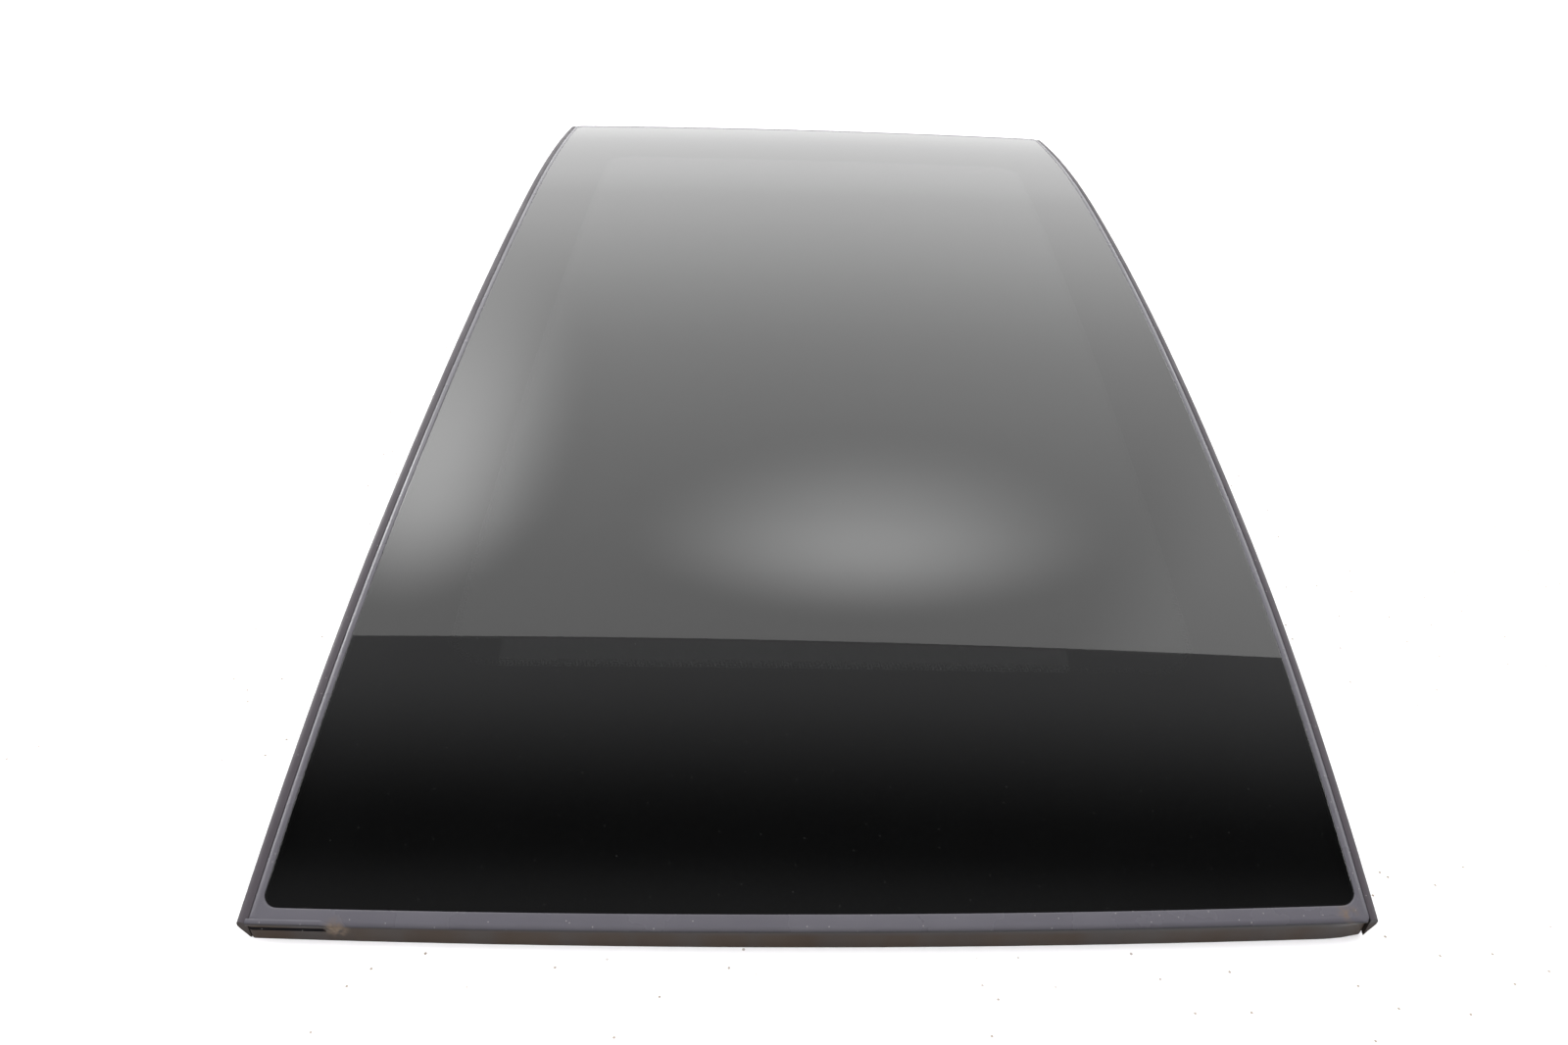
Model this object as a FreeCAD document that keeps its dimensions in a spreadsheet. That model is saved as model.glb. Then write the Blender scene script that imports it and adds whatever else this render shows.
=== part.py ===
import FreeCAD, Part
import math
import os
import Sketcher

# Panoramic sunroof glass: one bent roof panel with its moulded surround, edge seals and the steel parts
# bonded under its black border. Millimetres. X runs forward along the car, Y to the car's left, Z up.
# The panel lies crown up, and the origin is under the middle of its overall size, on the surface that it
# rests on.

V = FreeCAD.Vector

# Driving sizes

SIZES = {
    # Outline of the whole panel, seen from above
    "panel_width": 560.0,
    "panel_length": 1068.0,
    "end_taper": 6.8,
    "front_bow": 8.8,
    "rear_bow": 1.5,
    "side_bow": 5.3,
    # Crown: a flatter arc in the middle and a tighter one towards each side, and a faint arc front to rear
    "crown_middle_half": 261.0,
    "crown_middle_radius": 5145.0,
    "crown_side_radius": 1964.0,
    "cross_crown_radius": 17800.0,
    "edge_height": 15.6,
    # Glass
    "glass_thickness": 5.0,
    "glass_corner_radius": 8.0,
    # Moulded surround
    "front_lip": 4.6,
    "rear_lip": 4.7,
    "side_lip": 8.1,
    "surround_corner_radius": 3.0,
    "surround_depth": 15.0,
    "skirt_width": 10.0,
    "flange_reach": 31.0,
    "flange_thickness": 3.5,
    "flange_corner_radius": 14.0,
    # Edge seals
    "front_seal_width": 4.8,
    "rear_seal_width": 6.1,
    "seal_drop": 1.0,
    "seal_depth": 10.0,
    "seal_end_gap": 4.0,
    "seal_end_angle": 40.0,
    # Adhesive
    "adhesive_thickness": 2.5,
    "channel_bead_width": 9.0,
    "rail_bead_width": 12.0,
    # Stiffening channels
    "channel_gap": 3.0,
    "channel_thickness": 1.5,
    "channel_depth": 9.0,
    "front_channel_width": 17.0,
    "rear_channel_width": 26.0,
    # Side rails
    "rail_gap": 5.0,
    "rail_thickness": 2.0,
    "rail_width": 72.0,
    "rail_lip_depth": 7.0,
    # Lift brackets
    "bracket_end_gap": 21.0,
    "bracket_thickness": 3.0,
    "bracket_length": 96.0,
    "bracket_width": 36.0,
    "bracket_ear_depth": 15.0,
    "slot_width": 6.6,
    "slot_length": 12.0,
    "slot_spacing": 56.0,
    "slot_drop": 7.5,
    # Hexagon-headed screws through the brackets and rails
    "screw_spacing": 66.0,
    "screw_radius": 2.5,
    "screw_clearance": 0.1,
    "screw_end": 1.2,
    "screw_head_flats": 8.0,
    "screw_head_height": 3.2,
}

doc = FreeCAD.newDocument("panoramic_sunroof_glass")
sheet = doc.addObject("Spreadsheet::Sheet", "sizes")
for row, (alias, number) in enumerate(SIZES.items(), 1):
    sheet.set(f"A{row}", alias)
    sheet.set(f"B{row}", str(number))
    sheet.setAlias(f"B{row}", alias)
doc.recompute()

# Cells as they are written in an expression
S = {alias: f"sizes.{alias}" for alias in SIZES}


def value(expression):
    """The number that an expression on the sheet gives."""
    result = sheet.evalExpression(str(expression))
    return float(getattr(result, "Value", result))


def bind(thing, **settings):
    """Sets each property of an object and binds it to its expression; a double underscore is a dot."""
    for path, expression in settings.items():
        thing.setExpression(path.replace("__", "."), str(expression))


# Geometry shared by all the pieces. The width is measured at the corners, and the front edge bows out past
# them, so the corners stand back from the origin by half the bow.

HALF_WIDTH = f"({S['panel_width']} / 2)"
FRONT_CORNER = f"({HALF_WIDTH} - {S['front_bow']} / 2)"
REAR_CORNER = f"({HALF_WIDTH} + {S['front_bow']} / 2)"
HALF_LENGTH = f"({S['panel_length']} / 2)"
MIDDLE_SINE = f"({S['crown_middle_half']} / {S['crown_middle_radius']})"
MIDDLE_COSINE = f"sqrt(1 - {MIDDLE_SINE}^2)"
SIDE_SINE = f"({MIDDLE_SINE} + ({HALF_LENGTH} - {S['crown_middle_half']}) / {S['crown_side_radius']})"
SIDE_COSINE = f"sqrt(1 - {SIDE_SINE}^2)"
CROWN_RISE = (
    f"({S['crown_middle_radius']} * (1 - {MIDDLE_COSINE})"
    f" + {S['crown_side_radius']} * ({MIDDLE_COSINE} - {SIDE_COSINE}))"
)
APEX = f"({S['edge_height']} + {CROWN_RISE})"
MIDDLE_CENTRE = f"({APEX} - {S['crown_middle_radius']})"
SIDE_CENTRE_Y = f"({S['crown_middle_half']} - {S['crown_side_radius']} * {MIDDLE_SINE})"
RADIUS_STEP = f"({S['crown_middle_radius']} - {S['crown_side_radius']})"
SIDE_CENTRE_Z = f"({MIDDLE_CENTRE} + {RADIUS_STEP} * {MIDDLE_COSINE})"
CROSS_AXIS_Z = f"({APEX} - {S['cross_crown_radius']})"
SECTION_MARGIN = 12.0
SECTION_END = f"({HALF_LENGTH} + {S['end_taper']} + {S['side_bow']} + {SECTION_MARGIN})"
SWEEP_HALF = f"({REAR_CORNER} + {S['front_bow']} + {SECTION_MARGIN})"
SWEEP_ANGLE = f"(2 * asin({SWEEP_HALF} / {S['cross_crown_radius']}))"

SECTION_PLANE = FreeCAD.Placement(V(0, 0, 0), FreeCAD.Rotation(V(1, 1, 1), 120))


def on_sheet(sketch, kind, first, second, expression):
    """Adds a dimension between two sketch points, or on one curve, and binds it to the sheet."""
    number = value(expression)
    if kind == "Radius":
        index = sketch.addConstraint(Sketcher.Constraint(kind, first, number))
    else:
        index = sketch.addConstraint(Sketcher.Constraint(kind, *first, *second, number))
    sketch.setExpression(f"Constraints[{index}]", str(expression))


def place_point(sketch, point, across, along):
    """Fixes a sketch point at its distances from the origin; a leading minus sign gives its side."""
    for kind, expression in (("DistanceX", across), ("DistanceY", along)):
        if str(expression).startswith("-"):
            on_sheet(sketch, kind, point, (-1, 1), str(expression)[1:])
        else:
            on_sheet(sketch, kind, (-1, 1), point, expression)


def crown_curve(sketch, depth):
    """Draws the three tangent arcs of the crown at a depth below the glass face, left end to right end."""
    sunk = value(depth)
    middle_radius = value(S["crown_middle_radius"]) - sunk
    side_radius = value(S["crown_side_radius"]) - sunk
    side_centre_y = value(SIDE_CENTRE_Y)
    side_centre_z = value(SIDE_CENTRE_Z)
    middle_angle = math.asin(value(MIDDLE_SINE))
    end_angle = math.asin((value(SECTION_END) - side_centre_y) / side_radius)
    up = math.pi / 2
    middle_circle = Part.Circle(V(0, value(MIDDLE_CENTRE), 0), V(0, 0, 1), middle_radius)
    plus_circle = Part.Circle(V(side_centre_y, side_centre_z, 0), V(0, 0, 1), side_radius)
    minus_circle = Part.Circle(V(-side_centre_y, side_centre_z, 0), V(0, 0, 1), side_radius)
    middle = sketch.addGeometry(Part.ArcOfCircle(middle_circle, up - middle_angle, up + middle_angle))
    plus = sketch.addGeometry(Part.ArcOfCircle(plus_circle, up - end_angle, up - middle_angle))
    minus = sketch.addGeometry(Part.ArcOfCircle(minus_circle, up + middle_angle, up + end_angle))
    sketch.addConstraint(Sketcher.Constraint("PointOnObject", middle, 3, -2))
    sketch.addConstraint(Sketcher.Constraint("Symmetric", middle, 1, middle, 2, -2))
    sketch.addConstraint(Sketcher.Constraint("Tangent", middle, 1, plus, 2))
    sketch.addConstraint(Sketcher.Constraint("Tangent", middle, 2, minus, 1))
    on_sheet(sketch, "Radius", middle, None, f"{S['crown_middle_radius']} - {depth}")
    on_sheet(sketch, "Radius", plus, None, f"{S['crown_side_radius']} - {depth}")
    on_sheet(sketch, "Radius", minus, None, f"{S['crown_side_radius']} - {depth}")
    on_sheet(sketch, "DistanceY", (middle, 3), (-1, 1), f"{S['crown_middle_radius']} - {APEX}")
    half = f"({S['crown_middle_radius']} - {depth}) * {MIDDLE_SINE}"
    on_sheet(sketch, "DistanceX", (-1, 1), (middle, 1), half)
    return minus, plus


made_layers = {}


def layer(top, bottom):
    """A slab of the bent panel between two depths below the glass face, swept from front to rear."""
    key = (str(top), str(bottom))
    if key in made_layers:
        return made_layers[key]
    number = len(made_layers) + 1
    sketch = doc.addObject("Sketcher::SketchObject", f"layer_{number}_section")
    sketch.Placement = SECTION_PLANE
    upper_minus, upper_plus = crown_curve(sketch, top)
    lower_minus, lower_plus = crown_curve(sketch, bottom)
    for upper, lower, end in ((upper_plus, lower_plus, 1), (upper_minus, lower_minus, 2)):
        start_point = sketch.getPoint(upper, end)
        end_point = sketch.getPoint(lower, end)
        wall = sketch.addGeometry(Part.LineSegment(start_point, end_point))
        sketch.addConstraint(Sketcher.Constraint("Coincident", wall, 1, upper, end))
        sketch.addConstraint(Sketcher.Constraint("Coincident", wall, 2, lower, end))
        sketch.addConstraint(Sketcher.Constraint("Vertical", wall))
    on_sheet(sketch, "DistanceX", (-1, 1), (upper_plus, 1), SECTION_END)
    on_sheet(sketch, "DistanceX", (upper_minus, 2), (-1, 1), SECTION_END)
    slab = doc.addObject("Part::Revolution", f"layer_{number}")
    slab.Source = sketch
    slab.Axis = V(0, 1, 0)
    slab.Solid = True
    slab.Symmetric = True
    bind(slab, Base__z=CROSS_AXIS_Z, Angle=SWEEP_ANGLE)
    made_layers[key] = slab
    return slab


def bowed_circle(start, end, rise, outward):
    """Centre and radius of the arc that rises over its chord, out of the panel or into it."""
    chord = end - start
    radius = (chord.Length**2 / 4 + rise**2) / (2 * rise)
    normal = V(chord.y, -chord.x, 0) / chord.Length * (1 if outward else -1)
    return (start + end) / 2 + normal * (rise - radius), radius


def corner_centre(before, after, radius, corner):
    """Centre of the small arc that rounds the corner between two sides, each a centre, radius and bow."""
    (centre_a, radius_a, outward_a), (centre_b, radius_b, outward_b) = before, after
    reach_a = radius_a - radius if outward_a else radius_a + radius
    reach_b = radius_b - radius if outward_b else radius_b + radius
    line = centre_b - centre_a
    along = (reach_a**2 - reach_b**2 + line.Length**2) / (2 * line.Length)
    across = math.sqrt(reach_a**2 - along**2)
    direction = line / line.Length
    foot = centre_a + direction * along
    aside = V(-direction.y, direction.x, 0) * across
    return min((foot + aside, foot - aside), key=lambda point: point.distanceToPoint(corner))


def add_arc(sketch, centre, radius, start, end):
    """Adds the arc that turns anticlockwise from a start to an end."""
    first = math.atan2(start.y - centre.y, start.x - centre.x)
    last = math.atan2(end.y - centre.y, end.x - centre.x)
    if last < first:
        last += 2 * math.pi
    return sketch.addGeometry(Part.ArcOfCircle(Part.Circle(centre, V(0, 0, 1), radius), first, last))


def outline(name, front, rear, side, corner_radius):
    """A tall prism of the panel's outline, drawn in by an inset at the front, the rear and both sides."""
    body = doc.addObject("PartDesign::Body", name)
    sketch = body.newObject("Sketcher::SketchObject", f"{name}_sketch")
    plane = next(item for item in body.Origin.OriginFeatures if item.Role == "XY_Plane")
    sketch.AttachmentSupport = [(plane, "")]
    sketch.MapMode = "FlatFace"
    front_x = f"({FRONT_CORNER} - {front})"
    rear_x = f"({REAR_CORNER} - {rear})"
    front_y = f"({HALF_LENGTH} - {side} - {S['end_taper']} * ({HALF_WIDTH} - {front}) / {HALF_WIDTH})"
    rear_y = f"({HALF_LENGTH} - {side} + {S['end_taper']} * ({HALF_WIDTH} - {rear}) / {HALF_WIDTH})"
    corners = (
        (f"-{rear_x}", f"-{rear_y}"),
        (front_x, f"-{front_y}"),
        (front_x, front_y),
        (f"-{rear_x}", rear_y),
    )
    points = [V(value(x), value(y), 0) for x, y in corners]
    bows = (
        (S["side_bow"], True),
        (S["front_bow"], True),
        (S["side_bow"], True),
        (S["rear_bow"], False),
    )
    round_radius = value(corner_radius)
    circles = []
    for index, (bow, outward) in enumerate(bows):
        centre, radius = bowed_circle(points[index], points[(index + 1) % 4], value(bow), outward)
        circles.append((centre, radius, outward))
    round_centres = []
    touches = []
    for index, corner in enumerate(points):
        middle = corner_centre(circles[index - 1], circles[index], round_radius, corner)
        ends = []
        for centre, radius, outward in (circles[index - 1], circles[index]):
            ends.append(centre + (middle - centre) / (middle - centre).Length * radius)
        round_centres.append(middle)
        touches.append(ends)
    sides = []
    for index, (centre, radius, outward) in enumerate(circles):
        start, end = touches[index][1], touches[(index + 1) % 4][0]
        first, last = (start, end) if outward else (end, start)
        positions = (1, 2) if outward else (2, 1)
        sides.append((add_arc(sketch, centre, radius, first, last), positions))
    for index, middle in enumerate(round_centres):
        before, (before_start, before_end) = sides[index - 1]
        after, (after_start, after_end) = sides[index]
        rounding = add_arc(sketch, middle, round_radius, *touches[index])
        sketch.addConstraint(Sketcher.Constraint("Tangent", before, before_end, rounding, 1))
        sketch.addConstraint(Sketcher.Constraint("Tangent", rounding, 2, after, after_start))
        on_sheet(sketch, "Radius", rounding, None, corner_radius)
        sharp = sketch.addGeometry(Part.Point(points[index]), True)
        sketch.addConstraint(Sketcher.Constraint("PointOnObject", sharp, 1, before))
        sketch.addConstraint(Sketcher.Constraint("PointOnObject", sharp, 1, after))
        place_point(sketch, (sharp, 1), *corners[index])
        (x_start, y_start), (x_end, y_end) = corners[index], corners[(index + 1) % 4]
        bow = bows[index][0]
        chord_squared = f"(({x_end} - ({x_start}))^2 + ({y_end} - ({y_start}))^2)"
        on_sheet(sketch, "Radius", after, None, f"({chord_squared} / 4 + {bow}^2) / (2 * {bow})")
    pad = body.newObject("PartDesign::Pad", f"{name}_pad")
    pad.Profile = sketch
    pad.Midplane = True
    bind(pad, Length=f"4 * {APEX}")
    body.Tip = pad
    return body


def box(name, x_low, x_high, y_low, y_high):
    """A tall upright block between four bound positions, which trims a layer to a strip or a plate."""
    block = doc.addObject("Part::Box", name)
    bind(
        block,
        Length=f"{x_high} - ({x_low})",
        Width=f"{y_high} - ({y_low})",
        Height=f"3 * {APEX}",
        Placement__Base__x=x_low,
        Placement__Base__y=y_low,
        Placement__Base__z=f"-{APEX}",
    )
    return block


def common(name, *shapes):
    both = doc.addObject("Part::MultiCommon", name)
    both.Shapes = list(shapes)
    return both


def fuse(name, *shapes):
    joined = doc.addObject("Part::MultiFuse", name)
    joined.Shapes = list(shapes)
    return joined


def cut(name, base, tool):
    remainder = doc.addObject("Part::Cut", name)
    remainder.Base = base
    remainder.Tool = tool
    return remainder


nodes = []


def node(thing, label):
    """Marks an object as a finished sub-part, whose label names its file."""
    thing.Label = label
    nodes.append(thing)
    return thing


# Glass pane: a bent sheet, cut to an outline that stands in from the surround's by the width of its lip

glass_inset = {
    "front": f"({S['front_seal_width']} + {S['front_lip']})",
    "rear": f"({S['rear_seal_width']} + {S['rear_lip']})",
    "side": S["side_lip"],
}
glass_outline = outline("glass_outline", corner_radius=S["glass_corner_radius"], **glass_inset)
glass = node(common("glass_sheet", layer("0", S["glass_thickness"]), glass_outline), "glass_pane")

# Moulded surround: a ring with a lip flush with the glass, a skirt and a flange under the glass

ring_outline = outline(
    "ring_outline",
    front=S["front_seal_width"],
    rear=S["rear_seal_width"],
    side="0",
    corner_radius=S["surround_corner_radius"],
)
skirt_outline = outline(
    "skirt_outline",
    front=f"({S['front_seal_width']} + {S['skirt_width']})",
    rear=f"({S['rear_seal_width']} + {S['skirt_width']})",
    side=S["skirt_width"],
    corner_radius=S["surround_corner_radius"],
)
flange_outline = outline(
    "flange_outline",
    front=f"({S['front_seal_width']} + {S['flange_reach']})",
    rear=f"({S['rear_seal_width']} + {S['flange_reach']})",
    side=S["flange_reach"],
    corner_radius=S["flange_corner_radius"],
)
flange_bottom = f"({S['glass_thickness']} + {S['flange_thickness']})"
ring_full = common("ring_full", layer("0", S["surround_depth"]), ring_outline)
above_table = doc.addObject("Part::Box", "above_table")
bind(
    above_table,
    Length=f"2 * {S['panel_width']}",
    Width=f"2 * {S['panel_length']}",
    Height=f"2 * {APEX}",
    Placement__Base__x=f"-{S['panel_width']}",
    Placement__Base__y=f"-{S['panel_length']}",
)
ring_standing = common("ring_standing", ring_full, above_table)
skirt_hollow = common("skirt_hollow", layer(flange_bottom, f"2 * {S['surround_depth']}"), skirt_outline)
ring_skirted = cut("ring_skirted", ring_standing, skirt_hollow)
ring_open = cut("ring_open", ring_skirted, flange_outline)
ring_seated = cut("ring_seated", ring_open, glass)
node(ring_seated, "moulded_surround")

# Edge seals: rubber strips along the front and rear of the surround, each end cut off at a slant


def slant_cutter(name, inner, end, width, turn):
    """A block whose wall passes the inner corner of a seal's end, and takes the outer corner off."""
    block = doc.addObject("Part::Box", name)
    block.Placement.Rotation = FreeCAD.Rotation(V(0, 0, 1), 1)
    bind(
        block,
        Length=f"8 * {width}",
        Width=f"4 * {width}",
        Height=f"3 * {APEX}",
        Placement__Base__x=f"{inner} - 4 * {width} * cos({turn} * 1 deg)",
        Placement__Base__y=f"{end} - 4 * {width} * sin({turn} * 1 deg)",
        Placement__Base__z=f"-{APEX}",
        Placement__Rotation__Angle=turn,
    )
    return block


def edge_seal(name, front, rear, end):
    """A strip between the surround's outline and the panel's own, on one side of the panel."""
    strip_outline = outline(
        f"{name}_outline", front=front, rear=rear, side=S["seal_end_gap"], corner_radius="0.5"
    )
    bottom = f"({S['seal_drop']} + {S['seal_depth']})"
    plate = common(f"{name}_plate", layer(S["seal_drop"], bottom), strip_outline)
    standing = common(f"{name}_standing", plate, above_table)
    half = box(f"{name}_half", *end, f"-{S['panel_length']}", S["panel_length"])
    strip = common(f"{name}_side", standing, half)
    long_strip = cut(f"{name}_strip", strip, ring_outline)
    width = S[f"{name}_width"]
    if name == "front_seal":
        inner = f"({FRONT_CORNER} - {width})"
        end_y = f"({HALF_LENGTH} - {S['seal_end_gap']} - {S['end_taper']})"
        left_turn, right_turn = f"(0 - {S['seal_end_angle']})", f"(180 + {S['seal_end_angle']})"
    else:
        inner = f"({width} - {REAR_CORNER})"
        end_y = f"({HALF_LENGTH} - {S['seal_end_gap']} + {S['end_taper']})"
        left_turn, right_turn = f"({S['seal_end_angle']})", f"(180 - {S['seal_end_angle']})"
    left_end = slant_cutter(f"{name}_left_cutter", inner, end_y, width, left_turn)
    right_end = slant_cutter(f"{name}_right_cutter", inner, f"-{end_y}", width, right_turn)
    return cut(f"{name}_trimmed", long_strip, fuse(f"{name}_cutters", left_end, right_end))


front_seal = edge_seal("front_seal", "0", S["rear_seal_width"], ("0", S["panel_width"]))
rear_seal = edge_seal("rear_seal", S["front_seal_width"], "0", (f"-{S['panel_width']}", "0"))
node(front_seal, "front_seal")
node(rear_seal, "rear_seal")

# Stiffening channels: steel strips with two walls, bonded under the front and rear of the border

bead_bottom = f"({S['glass_thickness']} + {S['adhesive_thickness']})"
channel_inset = f"({S['flange_reach']} + {S['channel_gap']})"
front_channel_out = f"({FRONT_CORNER} - {S['front_seal_width']} - {channel_inset})"
rear_channel_out = f"({REAR_CORNER} - {S['rear_seal_width']} - {channel_inset})"
channel_half = f"({HALF_LENGTH} - {S['flange_reach']} - {S['end_taper']} - {S['channel_gap']})"
channel_web_bottom = f"({bead_bottom} + {S['channel_thickness']})"
channel_bottom = f"({bead_bottom} + {S['channel_depth']})"


def stiffening_channel(name, x_low, x_high):
    """A channel that follows the crown, open downwards, and its adhesive bead."""
    block = box(f"{name}_block", x_low, x_high, f"-{channel_half}", channel_half)
    full = common(f"{name}_full", layer(bead_bottom, channel_bottom), block)
    wall = S["channel_thickness"]
    room = box(
        f"{name}_room", f"{x_low} + {wall}", f"{x_high} - {wall}", f"-{S['panel_length']}", S["panel_length"]
    )
    hollow = common(f"{name}_hollow", layer(channel_web_bottom, f"2 * {channel_bottom}"), room)
    channel = node(cut(f"{name}_cut", full, hollow), name)
    middle = f"(({x_low}) + ({x_high})) / 2"
    half_bead = f"{S['channel_bead_width']} / 2"
    bead_block = box(
        f"{name}_bead_block",
        f"{middle} - {half_bead}",
        f"{middle} + {half_bead}",
        f"-{channel_half} + {half_bead}",
        f"{channel_half} - {half_bead}",
    )
    bead = common(f"{name}_bead", layer(S["glass_thickness"], bead_bottom), bead_block)
    node(bead, name.replace("channel", "adhesive_bead"))
    return channel


stiffening_channel("front_channel", f"{front_channel_out} - {S['front_channel_width']}", front_channel_out)
stiffening_channel("rear_channel", f"-{rear_channel_out}", f"-{rear_channel_out} + {S['rear_channel_width']}")

# Side rails with their lift brackets, once for each side of the car

rail_front = f"({front_channel_out} - {S['front_channel_width']} - {S['rail_gap']})"
rail_rear = f"-({rear_channel_out} - {S['rear_channel_width']} - {S['rail_gap']})"
rail_out = f"({HALF_LENGTH} - {S['flange_reach']} - {S['end_taper']} - {S['channel_gap']})"
rail_in = f"({rail_out} - {S['rail_width']})"
rail_middle = f"(({rail_out} + {rail_in}) / 2)"
rail_web_bottom = f"({bead_bottom} + {S['rail_thickness']})"
rail_bottom = f"({bead_bottom} + {S['rail_lip_depth']})"
bracket_bottom = f"({rail_web_bottom} + {S['bracket_thickness']})"
ear_bottom = f"({bracket_bottom} + {S['bracket_ear_depth']})"
bracket_inset = f"({S['bracket_end_gap']} + {S['bracket_length']} / 2)"
bracket_centres = {
    "front": f"({rail_front} - {bracket_inset})",
    "rear": f"({rail_rear} + {bracket_inset})",
}


def mirrored(side, low, high):
    """A range of Y for the left of the car, or its mirror image for the right."""
    return (low, high) if side == "left" else (f"-({high})", f"-({low})")


def crown_height(across, along, depth):
    """Expression for the height of a layer's face above the table, at a place out in the side arcs."""
    radius = f"({S['crown_side_radius']} - {depth})"
    over_axis = f"({SIDE_CENTRE_Z} + sqrt({radius}^2 - ({along} - {SIDE_CENTRE_Y})^2) - {CROSS_AXIS_Z})"
    return f"({CROSS_AXIS_Z} + sqrt({over_axis}^2 - ({across})^2))"


def square_to_rail(name, kind, low, height, side, across, **sizes):
    """A pin, head or hole that stands square to the crown at a screw's place, from a depth under the rail."""
    turned = doc.addObject(kind, name)
    tilt = f"asin(({rail_middle} - {SIDE_CENTRE_Y}) / ({S['crown_side_radius']} - {bead_bottom}))"
    side_sign = "" if side == "left" else "-"
    turned.Placement.Rotation = FreeCAD.Rotation(V(1, 0, 0), 1)
    bind(
        turned,
        Height=height,
        Placement__Base__x=across,
        Placement__Base__y=f"{side_sign}({rail_middle} + ({low}) * sin({tilt}))",
        Placement__Base__z=f"{crown_height(across, rail_middle, bead_bottom)} + ({low}) * cos({tilt})",
        Placement__Rotation__Angle=f"-{tilt}" if side == "left" else tilt,
        **sizes,
    )
    return turned


def lift_bracket(side, end, rail_holes, screws):
    """An angle bracket under a rail, with two slots in its ear, and the two screws that hold it."""
    name = f"{side}_{end}"
    centre = bracket_centres[end]
    low = f"{centre} - {S['bracket_length']} / 2"
    high = f"{centre} + {S['bracket_length']} / 2"
    inner = f"({rail_middle} - {S['bracket_width']} / 2)"
    outer = f"({rail_middle} + {S['bracket_width']} / 2)"
    ear_outer = f"({inner} + {S['bracket_thickness']})"
    base_box = box(f"{name}_base_box", low, high, *mirrored(side, inner, outer))
    base = common(f"{name}_base", layer(rail_web_bottom, bracket_bottom), base_box)
    ear_box = box(f"{name}_ear_box", low, high, *mirrored(side, inner, ear_outer))
    ear = common(f"{name}_ear", layer(rail_web_bottom, ear_bottom), ear_box)
    blank = fuse(f"{name}_angle", base, ear)

    slots = []
    slot_height = f"({crown_height(centre, inner, bracket_bottom)} - {S['slot_drop']})"
    half_run = f"(({S['slot_length']} - {S['slot_width']}) / 2)"
    reach = f"(4 * {S['bracket_thickness']})"
    before_ear = f"({inner} - {S['bracket_thickness']})"
    start = before_ear if side == "left" else f"-{before_ear}"
    for number, slot_sign in ((1, "-"), (2, "+")):
        slot_centre = f"({centre} {slot_sign} {S['slot_spacing']} / 2)"
        for part, run_sign in (("rear", "-"), ("front", "+")):
            round_end = doc.addObject("Part::Cylinder", f"{name}_slot_{number}_{part}")
            round_end.Placement.Rotation = FreeCAD.Rotation(V(1, 0, 0), -90 if side == "left" else 90)
            bind(
                round_end,
                Radius=f"{S['slot_width']} / 2",
                Height=reach,
                Placement__Base__x=f"{slot_centre} {run_sign} {half_run}",
                Placement__Base__y=start,
                Placement__Base__z=slot_height,
            )
            slots.append(round_end)
        flat = doc.addObject("Part::Box", f"{name}_slot_{number}_flat")
        bind(
            flat,
            Length=f"2 * {half_run}",
            Width=reach,
            Height=S["slot_width"],
            Placement__Base__x=f"{slot_centre} - {half_run}",
            Placement__Base__y=start if side == "left" else f"{start} - {reach}",
            Placement__Base__z=f"{slot_height} - {S['slot_width']} / 2",
        )
        slots.append(flat)

    hole_radius = f"({S['screw_radius']} + {S['screw_clearance']})"
    grip = f"({S['rail_thickness']} + {S['bracket_thickness']})"
    head_height = S["screw_head_height"]
    corner_reach = f"({S['screw_head_flats']} / sqrt(3))"
    for place, screw_sign in (("rear", "-"), ("front", "+")):
        across = f"({centre} {screw_sign} {S['screw_spacing']} / 2)"
        at = (side, across)
        hole = square_to_rail(
            f"{name}_{place}_hole", "Part::Cylinder", f"-2 * {grip}", f"3 * {grip}", *at, Radius=hole_radius
        )
        rail_holes.append(hole)
        slots.append(hole)
        shank = square_to_rail(
            f"{name}_{place}_shank",
            "Part::Cylinder",
            f"-{grip}",
            f"{grip} + {S['screw_end']}",
            *at,
            Radius=S["screw_radius"],
        )
        head = square_to_rail(
            f"{name}_{place}_head",
            "Part::Prism",
            f"-{grip} - {head_height}",
            head_height,
            *at,
            Circumradius=corner_reach,
        )
        screws.append(fuse(f"{name}_{place}_screw", shank, head))

    openings = fuse(f"{name}_openings", *slots)
    node(cut(f"{name}_angle_cut", blank, openings), f"{name}_lift_bracket")


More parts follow.
